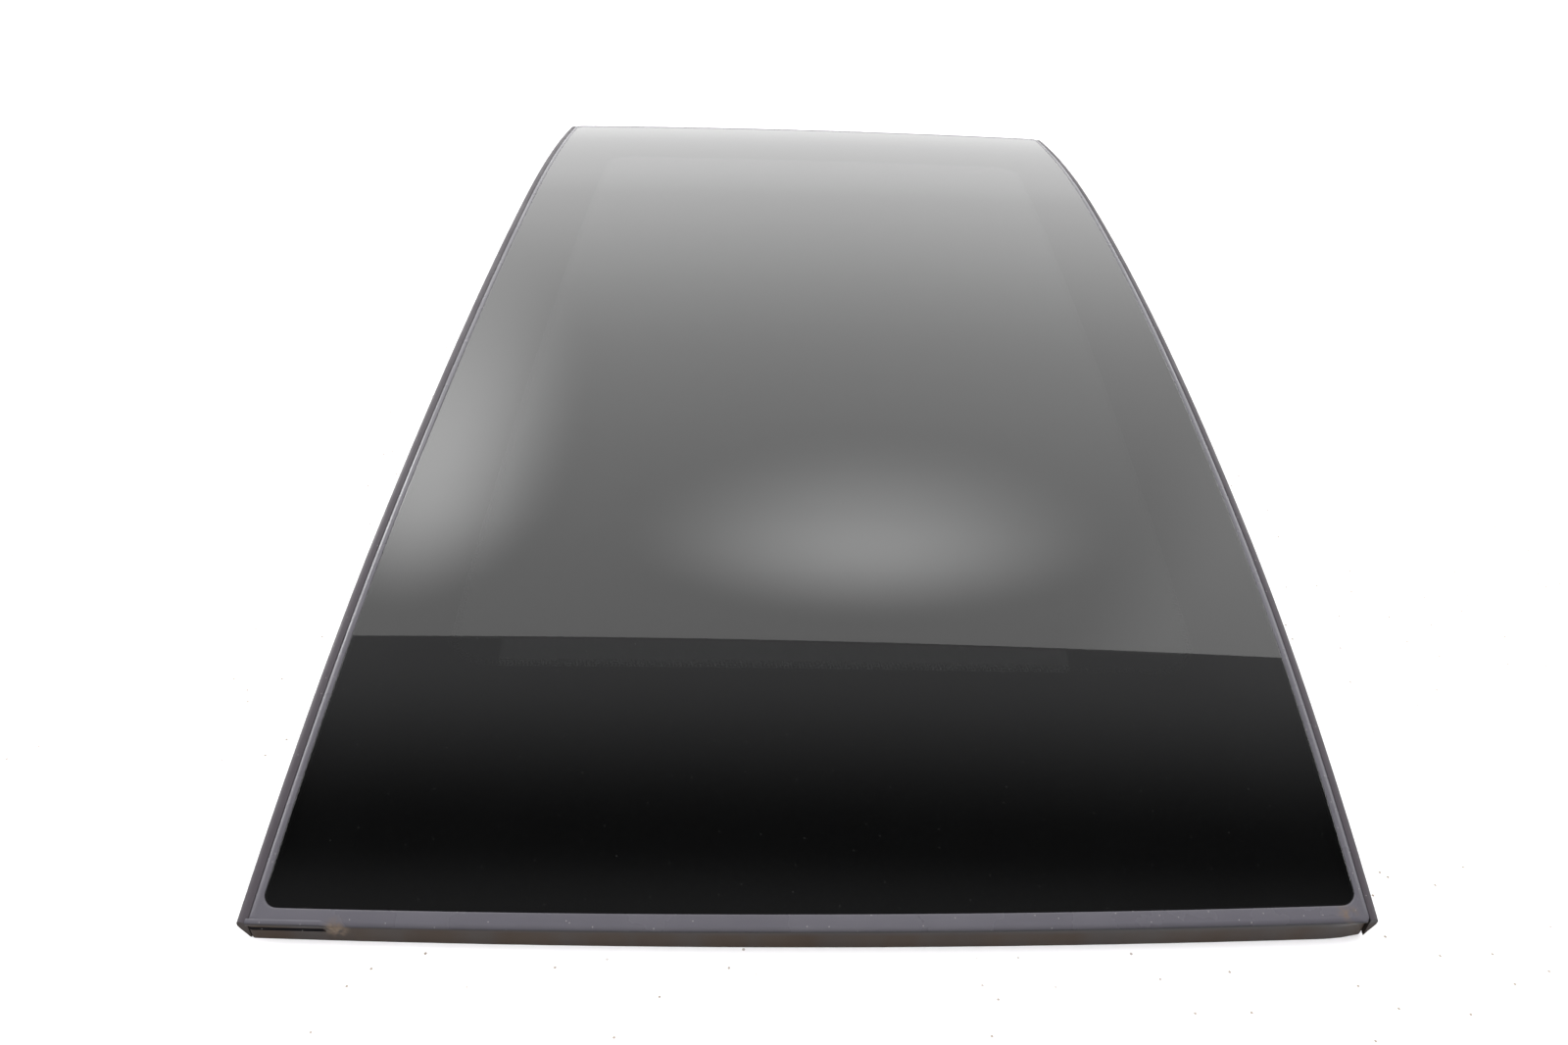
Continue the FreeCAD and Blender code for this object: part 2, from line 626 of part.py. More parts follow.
def side_rail(side):
    """A pressed rail with a downturned lip along each long edge, its two beads and its brackets."""
    full_box = box(f"{side}_rail_box", rail_rear, rail_front, *mirrored(side, rail_in, rail_out))
    full = common(f"{side}_rail_full", layer(bead_bottom, rail_bottom), full_box)
    wall = S["rail_thickness"]
    room_box = box(
        f"{side}_rail_room",
        f"-{S['panel_width']}",
        S["panel_width"],
        *mirrored(side, f"({rail_in} + {wall})", f"({rail_out} - {wall})"),
    )
    hollow = common(f"{side}_rail_hollow", layer(rail_web_bottom, f"2 * {rail_bottom}"), room_box)
    trough = cut(f"{side}_rail_trough", full, hollow)
    holes = []
    screws = []
    for end in ("front", "rear"):
        lift_bracket(side, end, holes, screws)
    group = doc.addObject("Part::Compound", f"{side}_screw_group")
    group.Links = screws
    node(group, f"{side}_bracket_screws")
    drilled = cut(f"{side}_rail_drilled", trough, fuse(f"{side}_rail_holes", *holes))
    node(drilled, f"{side}_side_rail")
    width = S["rail_bead_width"]
    for place, low, high in (
        ("inner", f"({rail_in} + {wall})", f"({rail_in} + {wall} + {width})"),
        ("outer", f"({rail_out} - {wall} - {width})", f"({rail_out} - {wall})"),
    ):
        strip_box = box(
            f"{side}_{place}_bead_box",
            f"{rail_rear} + {wall}",
            f"{rail_front} - {wall}",
            *mirrored(side, low, high),
        )
        strip = common(f"{side}_{place}_bead", layer(S["glass_thickness"], bead_bottom), strip_box)
        node(strip, f"{side}_{place}_adhesive_bead")


side_rail("left")
side_rail("right")

# Build, check and write every sub-part

doc.recompute()
for thing in doc.Objects:
    if "Invalid" in thing.State or "Error" in thing.State:
        raise SystemExit(f"{thing.Name} failed: {thing.State}")
os.makedirs("parts", exist_ok=True)
for old in os.listdir("parts"):
    os.remove(os.path.join("parts", old))
for thing in nodes:
    shape = thing.Shape
    if shape.isNull() or not shape.isValid() or not shape.Solids:
        raise SystemExit(f"{thing.Label} has no valid solid")
    shape.exportStep(os.path.join("parts", f"{thing.Label}.step"))
    print(f"{thing.Label}: {len(shape.Solids)} solid(s), {shape.Volume / 1000:.1f} cm3")
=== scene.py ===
# %% [markdown]
# # Panoramic sunroof glass
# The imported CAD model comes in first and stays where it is. It holds the size and place of every piece.
# This lesson gives it the finish of the real panel, which lies crown up on a white table.
# Lengths are written in millimetres here and turned to metres once.

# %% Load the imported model
import math

import bmesh
import bpy
from mathutils import Matrix, Vector


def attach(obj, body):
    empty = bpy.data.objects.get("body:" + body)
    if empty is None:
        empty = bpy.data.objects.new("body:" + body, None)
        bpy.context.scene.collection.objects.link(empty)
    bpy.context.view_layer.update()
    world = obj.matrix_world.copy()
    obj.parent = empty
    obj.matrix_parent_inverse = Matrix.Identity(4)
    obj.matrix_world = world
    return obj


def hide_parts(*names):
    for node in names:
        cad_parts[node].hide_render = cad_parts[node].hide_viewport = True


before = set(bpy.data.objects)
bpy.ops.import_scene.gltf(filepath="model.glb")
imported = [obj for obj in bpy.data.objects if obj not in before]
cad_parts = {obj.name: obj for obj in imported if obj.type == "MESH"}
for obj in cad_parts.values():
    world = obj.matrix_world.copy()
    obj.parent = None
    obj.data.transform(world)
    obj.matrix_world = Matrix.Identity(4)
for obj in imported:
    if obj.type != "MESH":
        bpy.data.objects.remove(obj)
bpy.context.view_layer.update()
print("nodes:", sorted(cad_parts))

# %% [markdown]
# ## Camera
# The lens, height and tilt come from a fit of the panel's outline in the photograph: a wide lens a little
# above the near edge, which looks down at 38 degrees and leans by 1.6 degrees.

# %% Camera
MM = 0.001
LENS = 27.45
CAMERA_PLACE = (-26.4, -872.5, 525.5)
CAMERA_TURN = -0.4
CAMERA_DOWN = 38.1
CAMERA_LEAN = 1.6
camera_data = bpy.data.cameras.new("camera")
camera_data.sensor_width = 36.0
camera_data.lens = LENS
camera_data.clip_end = 60.0
camera = bpy.data.objects.new("camera", camera_data)
bpy.context.scene.collection.objects.link(camera)
turn = Matrix.Rotation(math.radians(CAMERA_TURN), 4, "Z")
tilt = Matrix.Rotation(math.radians(90.0 - CAMERA_DOWN), 4, "X")
lean = Matrix.Rotation(math.radians(CAMERA_LEAN), 4, "Z")
camera.matrix_world = Matrix.Translation(Vector(CAMERA_PLACE) * MM) @ turn @ tilt @ lean
bpy.context.scene.camera = camera
print("camera at", [round(c, 3) for c in camera.matrix_world.translation])

# %% [markdown]
# ## The bent form
# A roof panel is drawn flat and then bent. Its crown is three tangent arcs across the car, flatter in the
# middle, and one very large arc from front to rear. Each new piece is made flat here too, with its depth
# below the glass face as a negative height, and one function bends it. That keeps a piece's outline simple
# and puts all the pieces on the same surface.

# %% Sizes that the model was drawn to
PANEL_WIDTH = 560.0
PANEL_LENGTH = 1068.0
END_TAPER = 6.8
FRONT_BOW = 8.8
REAR_BOW = 1.5
SIDE_BOW = 5.3
MIDDLE_HALF = 261.0
MIDDLE_RADIUS = 5145.0
SIDE_RADIUS = 1964.0
CROSS_RADIUS = 17800.0
EDGE_HEIGHT = 15.6
GLASS_THICKNESS = 5.0
FRONT_SEAL = 4.8
REAR_SEAL = 6.1
FRONT_LIP = 4.6
REAR_LIP = 4.7
SIDE_LIP = 8.1
SEAL_END_GAP = 0.5
SEAL_END_ANGLE = math.radians(14.0)

half_width = PANEL_WIDTH / 2
half_length = PANEL_LENGTH / 2
front_corner = half_width - FRONT_BOW / 2
rear_corner = half_width + FRONT_BOW / 2
middle_sine = MIDDLE_HALF / MIDDLE_RADIUS
side_sine = middle_sine + (half_length - MIDDLE_HALF) / SIDE_RADIUS
middle_cosine = math.sqrt(1 - middle_sine**2)
side_cosine = math.sqrt(1 - side_sine**2)
rise = MIDDLE_RADIUS * (1 - middle_cosine) + SIDE_RADIUS * (middle_cosine - side_cosine)
apex = EDGE_HEIGHT + rise
middle_centre = apex - MIDDLE_RADIUS
side_centre_y = MIDDLE_HALF - SIDE_RADIUS * middle_sine
side_centre_z = middle_centre + (MIDDLE_RADIUS - SIDE_RADIUS) * middle_cosine
cross_axis = apex - CROSS_RADIUS
print("apex", round(apex, 2), "mm")


def crown_height(x, y, depth):
    """Height in mm of the face that lies a depth below the glass top."""
    along = abs(y)
    if along <= (MIDDLE_RADIUS - depth) * middle_sine:
        section = middle_centre + math.sqrt((MIDDLE_RADIUS - depth) ** 2 - along**2)
    else:
        section = side_centre_z + math.sqrt((SIDE_RADIUS - depth) ** 2 - (along - side_centre_y) ** 2)
    return cross_axis + math.sqrt((section - cross_axis) ** 2 - x**2)


def bend(bm):
    """Bends a flat piece in mm onto the crown, keeps it above the table and turns it to metres."""
    for vert in bm.verts:
        x, y, z = vert.co
        height = max(crown_height(x, y, -z), 0.0)
        vert.co = Vector((x, y, height)) * MM


def finish_piece(bm, name, material, sharp_angle=40.0):
    bmesh.ops.remove_doubles(bm, verts=bm.verts, dist=1e-6)
    bmesh.ops.recalc_face_normals(bm, faces=bm.faces)
    for face in bm.faces:
        face.smooth = True
    for edge in bm.edges:
        edge.smooth = len(edge.link_faces) == 2 and edge.calc_face_angle() < math.radians(sharp_angle)
    open_edges = sum(1 for edge in bm.edges if len(edge.link_faces) != 2)
    mesh = bpy.data.meshes.new(name)
    bm.to_mesh(mesh)
    bm.free()
    piece = bpy.data.objects.new(name, mesh)
    bpy.context.scene.collection.objects.link(piece)
    mesh.materials.append(material)
    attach(piece, "root")
    print(name, "faces", len(mesh.polygons), "open edges", open_edges)
    return piece


# %% [markdown]
# ## Materials
# Each finish is one Principled shader whose colour, roughness and bump vary by noise at real sizes. One
# function turns the hex colours to linear light, and one adds a node with its settings and links.

# %% Colour and node helpers
def linear(code, alpha=1.0):
    """Linear colour of an sRGB hex code."""
    channels = [int(code[i : i + 2], 16) / 255 for i in (1, 3, 5)]
    return tuple(c / 12.92 if c <= 0.04045 else ((c + 0.055) / 1.055) ** 2.4 for c in channels) + (alpha,)


def add(tree, kind, settings=None, **links):
    """Adds a node. Settings are its properties, and each link is an input's value or another's output."""
    node = tree.nodes.new(kind)
    for key, number in (settings or {}).items():
        setattr(node, key, number)
    for key, source in links.items():
        name = key.replace("_", " ")
        socket = node.inputs[int(key[1:])] if key[0] == "i" and key[1:].isdigit() else node.inputs[name]
        if isinstance(source, bpy.types.NodeSocket):
            tree.links.new(source, socket)
        else:
            socket.default_value = source
    return node


def new_material(name):
    """An empty node material and its tree."""
    material = bpy.data.materials.new(name)
    material.use_nodes = True
    material.node_tree.nodes.clear()
    return material, material.node_tree


def noise(tree, size_mm, detail=3.0, stretch=(1.0, 1.0, 1.0), seed=0.0):
    """Noise on Object coordinates whose blobs measure about size_mm."""
    place = add(tree, "ShaderNodeTexCoord").outputs["Object"]
    shift = (seed, seed * 0.7, seed * 0.3)
    turned = add(tree, "ShaderNodeMapping", Vector=place, Scale=stretch, Location=shift)
    scale = 1.0 / (size_mm * MM)
    node = add(tree, "ShaderNodeTexNoise", Vector=turned.outputs["Vector"], Scale=scale, Detail=detail)
    return node.outputs["Fac"]


def band(tree, source, low, high, from_value=0.0, to_value=1.0):
    """A smooth step of a number between two bounds."""
    node = add(
        tree,
        "ShaderNodeMapRange",
        {"interpolation_type": "SMOOTHSTEP"},
        Value=source,
        From_Min=low,
        From_Max=high,
        To_Min=from_value,
        To_Max=to_value,
    )
    return node.outputs["Result"]


def specks(tree, spacing_mm, size_mm, stretch=(1.0, 1.0), seed=0.0):
    """Scattered specks, about one to each spacing squared; a stretch below 1 draws them out to scratches."""
    place = add(tree, "ShaderNodeTexCoord").outputs["Object"]
    moved = add(tree, "ShaderNodeMapping", Vector=place, Scale=(*stretch, 1.0), Location=(seed, seed, 0.0))
    scale = 1.0 / (spacing_mm * MM)
    settings = {"voronoi_dimensions": "2D"}
    cells = add(tree, "ShaderNodeTexVoronoi", settings, Vector=moved.outputs["Vector"], Scale=scale)
    reach = size_mm / spacing_mm
    return band(tree, cells.outputs["Distance"], reach, reach * 0.6)


def mix_colour(tree, factor, first, second):
    """The first colour where the factor is 0 and the second where it is 1."""
    node = add(tree, "ShaderNodeMix", {"data_type": "RGBA"}, i0=factor, i6=first, i7=second)
    return node.outputs[2]


def maths(tree, operation, first, second=0.0):
    """One sum on two numbers or sockets."""
    return add(tree, "ShaderNodeMath", {"operation": operation}, i0=first, i1=second).outputs["Value"]


# %% [markdown]
# The frame is polyurethane moulded in a closed mould: nearly black, satin, with a fine grain. Years outdoors
# left a grey-violet film on its upper faces, and brown dirt has dried matt low on its upright ones. The
# seals are sponge rubber, softer and a little browner. The print is a matt fired enamel, on which nothing
# settles. The pressings are steel dipped in a thin black coat, and the adhesive is a dull, lumpy urethane.
# They share one function, because they differ only in colour, grain and in how much lies on them.

# %% Moulded and coated finishes
DUST = "#b9b6b0"
DRIED_DIRT = "#33271c"
SMUDGE = "#655646"
PALE_SPECK_MM = 0.35
DIRT_FADES = (0.0135, 0.009)
# Heights in metres below which the film is left off: painted shade in the groove near the table.
FILM_ABOVE_GROOVE_SHADE = (0.0098, 0.0112)


def moulded_finish(
    name,
    base,
    light,
    grain_mm,
    roughness,
    bump_mm,
    film="#4b494d",
    film_amount=0.0,
    dirt_amount=0.0,
    dust=0.3,
    smudges=(),
    shine=0.5,
):
    """Black moulded or dipped finish: fine grain, clouds, a dusty film on top that stops low down as painted
    groove shade, and brown dirt low down.
    """
    material, tree = new_material(name)
    spot_on_piece = add(tree, "ShaderNodeTexCoord").outputs["Object"]
    height = add(tree, "ShaderNodeSeparateXYZ", Vector=spot_on_piece).outputs["Z"]
    normal = add(tree, "ShaderNodeNewGeometry").outputs["Normal"]
    upward = add(tree, "ShaderNodeSeparateXYZ", Vector=normal).outputs["Z"]
    clouds = noise(tree, 35.0, 4.0)
    grain = noise(tree, grain_mm, 2.0)
    colour = mix_colour(tree, band(tree, clouds, 0.35, 0.7), linear(base), linear(light))
    # The film lies on what faces up. Low down it is left out, so the groove near the table keeps a painted
    # shade.
    dust_film_and_groove_shade = maths(tree, "MULTIPLY", band(tree, upward, 0.2, 0.9), band(tree, clouds, 0.1, 0.9, 0.9, 1.0))
    dust_film_and_groove_shade = maths(tree, "MULTIPLY", dust_film_and_groove_shade, band(tree, height, *FILM_ABOVE_GROOVE_SHADE))
    colour = mix_colour(tree, maths(tree, "MULTIPLY", dust_film_and_groove_shade, film_amount), colour, linear(film))
    pale_specks = specks(tree, 11.0, PALE_SPECK_MM, seed=0.3)
    lifted = maths(tree, "MULTIPLY", band(tree, upward, 0.3, 0.95), pale_specks)
    colour = mix_colour(tree, maths(tree, "MULTIPLY", lifted, dust), colour, linear(DUST))
    # Dirt dries in streaks on the upright faces near the table and takes their shine.
    low_down = band(tree, height, *DIRT_FADES)
    upright = band(tree, upward, 0.5, 0.2)
    streaks = band(tree, noise(tree, 30.0, 6.0, stretch=(1.0, 1.0, 0.35), seed=7.0), 0.3, 0.7, 0.45, 1.0)
    patch = maths(tree, "MULTIPLY", maths(tree, "MULTIPLY", low_down, upright), streaks)
    patch = maths(tree, "MULTIPLY", patch, dirt_amount)
    colour = mix_colour(tree, patch, colour, linear(DRIED_DIRT))
    for spot, reach in smudges:
        centre = tuple(c * MM for c in spot)
        away = add(tree, "ShaderNodeVectorMath", {"operation": "DISTANCE"}, i0=spot_on_piece, i1=centre)
        worn = band(tree, noise(tree, 4.0, 4.0, seed=9.0), 0.35, 0.65)
        near = band(tree, away.outputs["Value"], reach * MM, reach * 0.2 * MM)
        rust = maths(tree, "MULTIPLY", maths(tree, "MULTIPLY", near, worn), 0.7)
        colour = mix_colour(tree, rust, colour, linear(SMUDGE))
    cloudy = band(tree, clouds, 0.3, 0.7, roughness - 0.06, roughness + 0.06)
    rough = maths(tree, "ADD", cloudy, maths(tree, "MULTIPLY", patch, 0.5))
    bump = add(tree, "ShaderNodeBump", Strength=0.5, Distance=bump_mm * MM, Height=grain)
    shader = add(
        tree,
        "ShaderNodeBsdfPrincipled",
        Base_Color=colour,
        Roughness=rough,
        Specular_IOR_Level=shine,
        Normal=bump.outputs["Normal"],
    )
    add(tree, "ShaderNodeOutputMaterial", Surface=shader.outputs["BSDF"])
    return material


# %% [markdown]
# Privacy glass is soda-lime glass dyed in the melt. It lets only a few hundredths of the light through and
# is as smooth as glass is, so nearly all that it shows is reflection. Dust and fine scratches break the
# shine up. A shadow ray passes it as a paler film, because a path tracer can't find the light through it.

# %% Privacy glass
privacy_glass, tree = new_material("privacy_glass")
smear = band(tree, noise(tree, 60.0, 5.0, stretch=(1.0, 0.35, 1.0), seed=2.0), 0.5, 0.8)
fleck = specks(tree, 26.0, 0.35)
scratch = specks(tree, 90.0, 0.16, stretch=(1.0, 0.22))
marks = maths(tree, "MAXIMUM", fleck, scratch)
haze = maths(tree, "ADD", maths(tree, "MULTIPLY", smear, 0.004), maths(tree, "MULTIPLY", marks, 0.16))
tint = linear("#444645")
glass_colour = mix_colour(tree, haze, tint, linear("#c9c9c6"))
glass_shader = add(
    tree,
    "ShaderNodeBsdfPrincipled",
    Base_Color=glass_colour,
    Roughness=maths(tree, "MULTIPLY", haze, 0.6),
    IOR=1.52,
    Transmission_Weight=maths(tree, "SUBTRACT", 1.0, haze),
)
film = add(tree, "ShaderNodeBsdfTransparent", Color=linear("#979a98"))
shadow_ray = add(tree, "ShaderNodeLightPath").outputs["Is Shadow Ray"]
solid = glass_shader.outputs["BSDF"]
glass_mix = add(tree, "ShaderNodeMixShader", i0=shadow_ray, i1=solid, i2=film.outputs["BSDF"])
add(tree, "ShaderNodeOutputMaterial", Surface=glass_mix.outputs["Shader"])

# %% Black ceramic print, polyurethane, rubber and the hidden finishes
REAR_CORNER_SMUDGE = ((-235.0, -541.5, 9.0), 8.0)
FRONT_CORNER_SMUDGE = ((260.0, -524.5, 16.0), 7.0)
ceramic_print = moulded_finish(
    "black_ceramic_print", "#0c0c0d", "#111112", 2.0, 0.62, 0.003, dust=0.0, shine=0.12
)
polyurethane = moulded_finish(
    "moulded_polyurethane",
    "#151416",
    "#1c1b1d",
    0.5,
    0.27,
    0.03,
    film="#5f5d64",
    film_amount=0.66,
    dirt_amount=0.8,
    smudges=(REAR_CORNER_SMUDGE, FRONT_CORNER_SMUDGE),
    shine=0.24,
)
edge_rubber = moulded_finish(
    "edge_rubber",
    "#1b1a1c",
    "#232224",
    0.8,
    0.5,
    0.06,
    film="#454045",
    film_amount=0.75,
    dirt_amount=0.5,
    shine=0.2,
)
coated_steel = moulded_finish("coated_steel", "#131314", "#1b1b1c", 1.2, 0.38, 0.03, dust=0.2)
adhesive = moulded_finish("urethane_adhesive", "#0b0b0b", "#151515", 3.0, 0.5, 0.25, dust=0.1)


# %% [markdown]
# The lift brackets and screws are zinc plated. Zinc dulls to a soft grey with faint crystals, so both the
# colour and the roughness change a little from one crystal to the next.

# %% Zinc plate
def plated_finish(name, base, light, spangle_mm, roughness):
    """Bright plated steel: faint crystals in colour and roughness."""
    material, tree = new_material(name)
    crystals = noise(tree, spangle_mm, 3.0)
    colour = mix_colour(tree, band(tree, crystals, 0.35, 0.65), linear(base), linear(light))
    grain = noise(tree, 0.8, 2.0, seed=4.0)
    bump = add(tree, "ShaderNodeBump", Strength=0.3, Distance=0.02 * MM, Height=grain)
    shader = add(
        tree,
        "ShaderNodeBsdfPrincipled",
        Base_Color=colour,
        Metallic=1.0,
        Roughness=band(tree, crystals, 0.3, 0.7, roughness - 0.08, roughness + 0.1),
        Normal=bump.outputs["Normal"],
    )
    add(tree, "ShaderNodeOutputMaterial", Surface=shader.outputs["BSDF"])
    return material


zinc = plated_finish("zinc_plated_steel", "#a9a8a2", "#c6c5be", 6.0, 0.36)

# %% [markdown]
# ## CAD nodes that keep their own shape
# The steel channels, rails, brackets, screws and adhesive beads sit under the panel. Their solids are
# already right, so they only get a material.

# %% Materials on the CAD nodes
finishes = {
    "glass_pane": privacy_glass,
    "moulded_surround": polyurethane,
    "front_seal": edge_rubber,
    "rear_seal": edge_rubber,
    "front_channel": coated_steel,
    "rear_channel": coated_steel,
    "left_side_rail": coated_steel,
    "right_side_rail": coated_steel,
    "front_adhesive_bead": adhesive,
    "rear_adhesive_bead": adhesive,
}
for side in ("left", "right"):
    finishes[f"{side}_inner_adhesive_bead"] = adhesive
    finishes[f"{side}_outer_adhesive_bead"] = adhesive
    finishes[f"{side}_front_lift_bracket"] = zinc
    finishes[f"{side}_rear_lift_bracket"] = zinc
    finishes[f"{side}_bracket_screws"] = zinc
for name, material in finishes.items():
    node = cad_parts[name]
    node.data.materials.clear()
    node.data.materials.append(material)

# %% [markdown]
# ## The outline
# Every piece of the panel follows the same outline, drawn in by some width: four corners, rounded, with
# sides that bow a little. Starting from four corners and letting the bevel operator round them gives each
# loop the same number of points, so that loops can be bridged one to the next.

# %% Outline of the panel
PANEL_BOWS = (FRONT_BOW, REAR_BOW, SIDE_BOW)


def outline_points(bm, front, rear, side, radius, depth, taper=END_TAPER, bows=PANEL_BOWS):
    """A face in mm with the panel's outline, drawn in at the front, the rear and both sides."""
    front_x = front_corner - front
    rear_x = rear_corner - rear
    front_y = half_length - side - taper * front_x / half_width
    rear_y = half_length - side + taper * rear_x / half_width
    corners = [(-rear_x, -rear_y), (front_x, -front_y), (front_x, front_y), (-rear_x, rear_y)]
    verts = [bm.verts.new((x, y, -depth)) for x, y in corners]
    face = bm.faces.new(verts)
    earlier = set(bm.faces) - {face}
    bmesh.ops.bevel(
        bm,
        geom=verts,
        offset=radius,
        offset_type="OFFSET",
        segments=8,
        profile=0.5,
        affect="VERTICES",
        material=-1,
    )
    face = next(iter(set(bm.faces) - earlier))
    long_edges = [e for e in face.edges if e.calc_length() > 100.0]
    bmesh.ops.subdivide_edges(bm, edges=long_edges, cuts=59)
    front_bow, rear_bow, side_bow = bows
    for vert in face.verts:
        x, y = vert.co.x, vert.co.y
        local_half = half_length - side - taper * x / half_width
        across = x / (front_x if x > 0 else rear_x)
        along = y / local_half
        vert.co.x = x + (front_bow if x > 0 else rear_bow) * max(0.0, 1 - along**2)
        vert.co.y = y + math.copysign(side_bow * max(0.0, 1 - across**2), y)
    return face


def sweep_ring(bm, stations):
    """Bridges a closed chain of outlines, each an (inset front, rear, side, radius, depth), into a ring."""
    loops = []
    for front, rear, side, radius, depth in stations:
        face = outline_points(bm, front, rear, side, radius, depth)
        loops.append(list(face.edges))
        bmesh.ops.delete(bm, geom=[face], context="FACES_ONLY")
    for index, edges in enumerate(loops):
        bmesh.ops.bridge_loops(bm, edges=edges + loops[(index + 1) % len(loops)])


def divide(bm, step_mm):
    """Cuts a flat piece into a grid, so that it can bend."""
    for axis, half in ((0, half_width + 20.0), (1, half_length + 20.0)):
        count = int(2 * half / step_mm)
        for i in range(1, count):
            point, normal = [0.0, 0.0, 0.0], [0.0, 0.0, 0.0]
            point[axis] = -half + i * 2 * half / count
            normal[axis] = 1.0
            geometry = bm.verts[:] + bm.edges[:] + bm.faces[:]
            bmesh.ops.bisect_plane(bm, geom=geometry, dist=1e-4, plane_co=point, plane_no=normal)


# %% [markdown]
# ## Glass pane
# The pane is one sheet, cut, ground along its edge and then bent over a mould while soft. It is made in the
# same order: the outline is extruded to the thickness, both rims get a small ground bevel, and the flat
# sheet is cut into a grid and bent.

# %% Glass pane
glass_front = FRONT_SEAL + FRONT_LIP
glass_rear = REAR_SEAL + REAR_LIP
bm = bmesh.new()
face = outline_points(bm, glass_front, glass_rear, SIDE_LIP, 8.0, 0.0)
extruded = bmesh.ops.extrude_face_region(bm, geom=[face])
lower = [v for v in extruded["geom"] if isinstance(v, bmesh.types.BMVert)]
bmesh.ops.translate(bm, verts=lower, vec=(0.0, 0.0, -GLASS_THICKNESS))
bmesh.ops.recalc_face_normals(bm, faces=bm.faces)
rims = [e for e in bm.edges if len(e.link_faces) == 2 and abs(e.verts[0].co.z - e.verts[1].co.z) < 1e-6]
bmesh.ops.bevel(
    bm, geom=rims, offset=0.5, offset_type="OFFSET", segments=2, profile=0.5, affect="EDGES", material=-1
)
divide(bm, 12.0)
bend(bm)
glass = finish_piece(bm, "glass_pane_polished", privacy_glass, 20.0)
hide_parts("glass_pane")

# %% [markdown]
# ## Black ceramic print
# A screen-printed enamel fused into the inner face hides the steel and the adhesive from above. Its solid
# border ends in rows of dots that shrink towards the clear window. It is a film a few hundredths of a
# millimetre thick, and it sits half in the glass, as the fired enamel does. Real dots are used because a
# painted pattern would need a picture or a mask that slides on a bent sheet.

# %% Border of the print
WINDOW_FRONT = 55.3
WINDOW_REAR = 68.2
WINDOW_SIDE = 150.9
WINDOW_TAPER = 3.4
WINDOW_RADIUS = 25.0
PRINT_TOP = GLASS_THICKNESS - 0.03
PRINT_BOTTOM = GLASS_THICKNESS + 0.03
DOT_PITCH = 2.2
straight = (0.0, 0.0, 0.0)


def print_outline(bm, depth, inset=0.0):
    """The clear window's outline, drawn in further by an inset."""
    front, rear, side = WINDOW_FRONT + inset, WINDOW_REAR + inset, WINDOW_SIDE + inset
    return outline_points(bm, front, rear, side, WINDOW_RADIUS - inset, depth, WINDOW_TAPER, straight)


bm = bmesh.new()
edge_face = outline_points(bm, glass_front + 1.2, glass_rear + 1.2, SIDE_LIP + 1.2, 7.0, PRINT_TOP)
window_face = print_outline(bm, PRINT_TOP)
bmesh.ops.delete(bm, geom=[edge_face, window_face], context="FACES_ONLY")
bmesh.ops.triangle_fill(bm, use_beauty=True, edges=bm.edges[:], normal=(0.0, 0.0, 1.0))
pressed = bmesh.ops.extrude_face_region(bm, geom=bm.faces[:])
lower = [v for v in pressed["geom"] if isinstance(v, bmesh.types.BMVert)]
bmesh.ops.translate(bm, verts=lower, vec=(0.0, 0.0, PRINT_TOP - PRINT_BOTTOM))
print("print border", round(sum(f.calc_area() for f in bm.faces if f.normal.z > 0.9) / 100), "cm2")
divide(bm, 12.0)
bend(bm)
finish_piece(bm, "black_print_border", ceramic_print)

# %% Dots of the print
bm = bmesh.new()
dots = []
for inset, radius, shift in ((1.2, 0.78, 0.0), (3.0, 0.58, 0.5), (4.7, 0.38, 0.0)):
    path = bmesh.new()
    face = print_outline(path, PRINT_TOP, inset)
    ring = [vert.co.copy() for vert in face.verts]
    path.free()
    lengths = [(ring[(i + 1) % len(ring)] - ring[i]).length for i in range(len(ring))]
    total = sum(lengths)
    count = round(total / DOT_PITCH)
    gone, leg = 0.0, 0
    for number in range(count):
        goal = (number + shift) * total / count
        while gone + lengths[leg] < goal:
            gone += lengths[leg]
            leg += 1
        spot = ring[leg].lerp(ring[(leg + 1) % len(ring)], (goal - gone) / lengths[leg])
        dots.append((spot, radius))
for spot, radius in dots:
    bmesh.ops.create_circle(bm, cap_ends=True, segments=8, radius=radius, matrix=Matrix.Translation(spot))
pressed = bmesh.ops.extrude_face_region(bm, geom=bm.faces[:])
lower = [v for v in pressed["geom"] if isinstance(v, bmesh.types.BMVert)]
bmesh.ops.translate(bm, verts=lower, vec=(0.0, 0.0, PRINT_TOP - PRINT_BOTTOM))
bend(bm)
print("dots", len(dots))
finish_piece(bm, "black_print_dots", ceramic_print)

# %% [markdown]
# ## Moulded surround
# Polyurethane is injected round the glass in a closed mould. Its section is a lip flush with the glass that
# slopes off to the outside, a tall skirt and a flange under the glass. The ring is swept: one outline for
# each corner of the section, bridged one to the next, so the section stays true round the corners. Then the
# skirt is pressed in to a groove near the rear right corner, and drawn back at the front right corner.

# %% Surround
LIP_CORNER = 3.0
SKIRT_CORNER = 2.0
GLASS_CORNER = 8.0
GROOVE_END = -240.0
GROOVE_DEPTH = 5.0
DRAWN_BACK_FROM = 250.0
DRAWN_BACK = 2.2


def lip_station(fraction, depth, side_fraction=None):
    """An outline between the surround's outer wall (0) and the glass edge (1)."""
    front = FRONT_SEAL + fraction * FRONT_LIP
    rear = REAR_SEAL + fraction * REAR_LIP
    side = (fraction if side_fraction is None else side_fraction) * SIDE_LIP
    corner = SKIRT_CORNER if depth > 2.0 else LIP_CORNER
    return front, rear, side, corner + fraction * (GLASS_CORNER - LIP_CORNER), depth


def under_station(inset, radius, depth):
    """An outline drawn in from the surround's outer wall by a plain width."""
    return FRONT_SEAL + inset, REAR_SEAL + inset, inset, radius, depth


